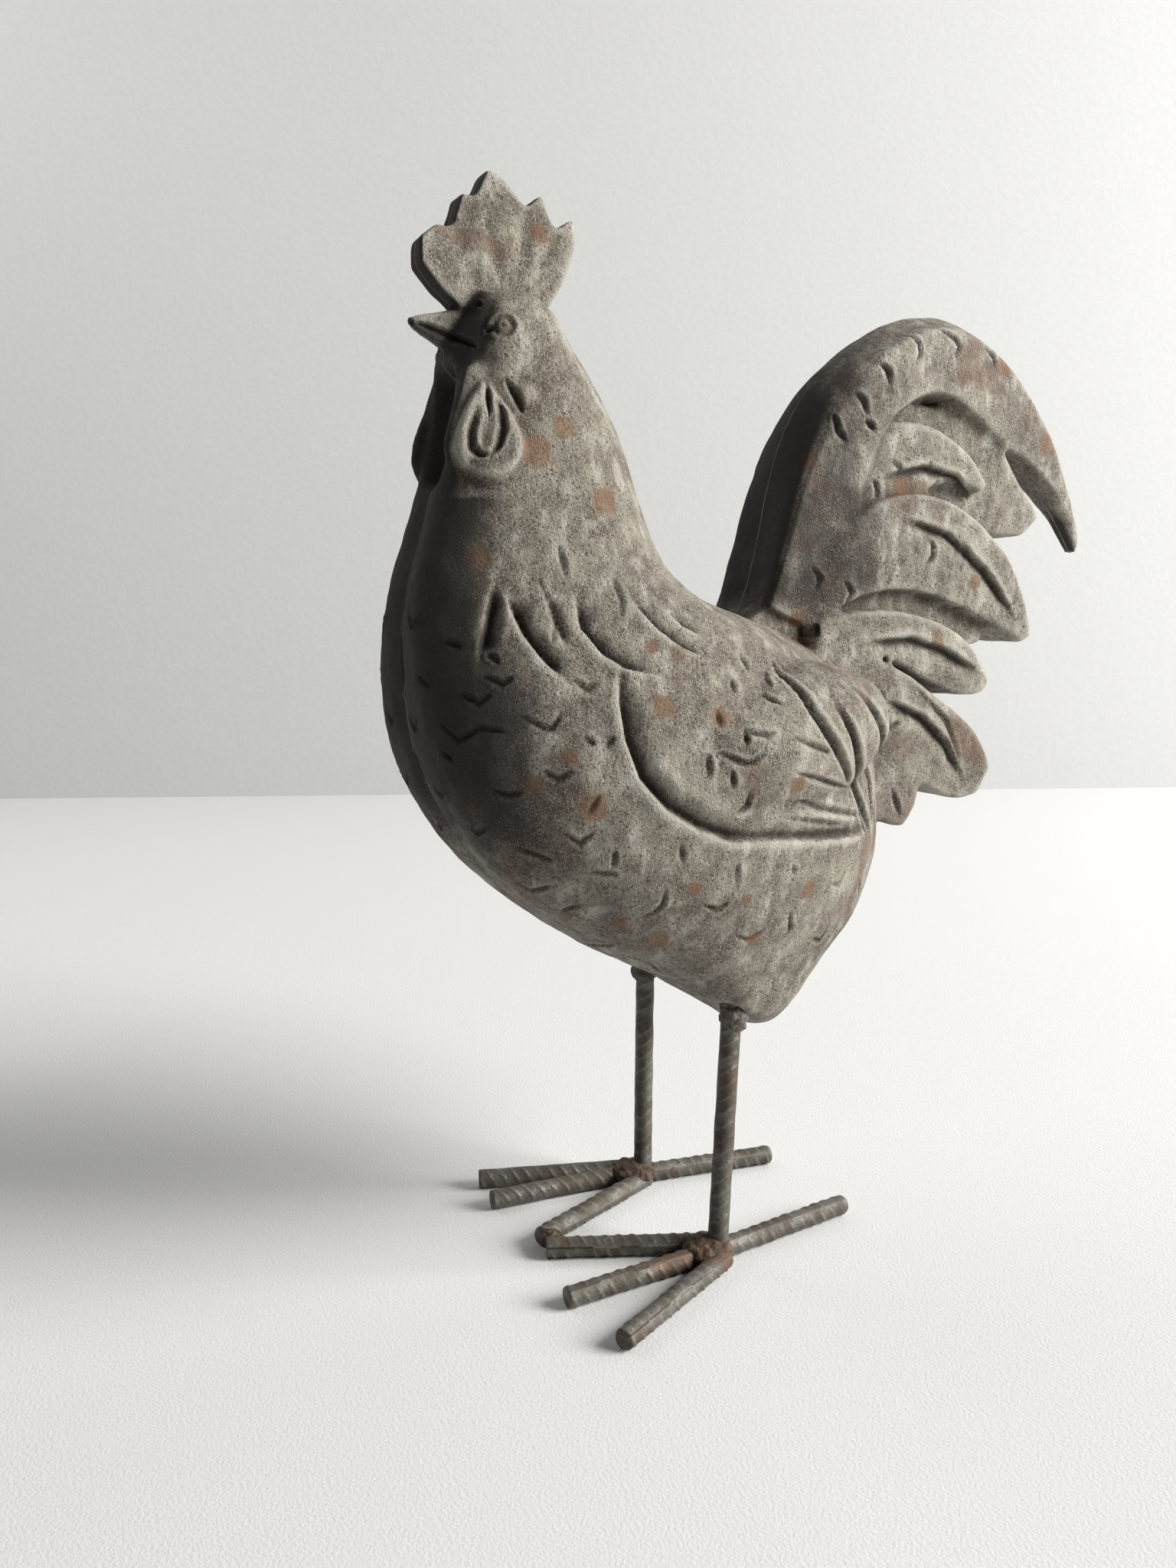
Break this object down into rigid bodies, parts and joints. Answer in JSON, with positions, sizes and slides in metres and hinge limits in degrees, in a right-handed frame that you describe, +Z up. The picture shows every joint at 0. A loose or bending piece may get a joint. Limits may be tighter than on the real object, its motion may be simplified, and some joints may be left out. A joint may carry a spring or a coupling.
{
  "type": "standing cockerel garden figure",
  "caption": "Free-standing cast cockerel with a curved tail, on two feet welded up from ribbed steel bar, for a garden or shelf.",
  "frame": {"origin": "on the ground, midway between the two legs", "axes": "+Z up; the bird faces -Y; its left side is +X"},
  "size_m": [0.1435, 0.325, 0.3997],
  "materials": {
    "casting": "cast cement, weathered pewter-grey paint over brown",
    "bond": "dark seam",
    "fill": "rough cement",
    "bar": "dull, weathered",
    "weld": "lumpy, brown",
    "putty": "rough"
  },
  "bodies": {
    "root": {"body_half_left": "casting", "body_half_right": "casting", "seam_bond": "bond", "belly_fill": "fill", "left_leg_bar": "bar", "left_outer_toe": "bar", "left_middle_toe": "bar", "left_inner_toe": "bar", "left_hind_toe": "bar", "right_leg_bar": "bar", "right_outer_toe": "bar", "right_middle_toe": "bar", "right_inner_toe": "bar", "right_hind_toe": "bar", "left_foot_weld": "weld", "right_foot_weld": "weld", "toe_tip_weld": "weld", "left_leg_putty": "putty", "right_leg_putty": "putty"}
  },
  "joints": []
}
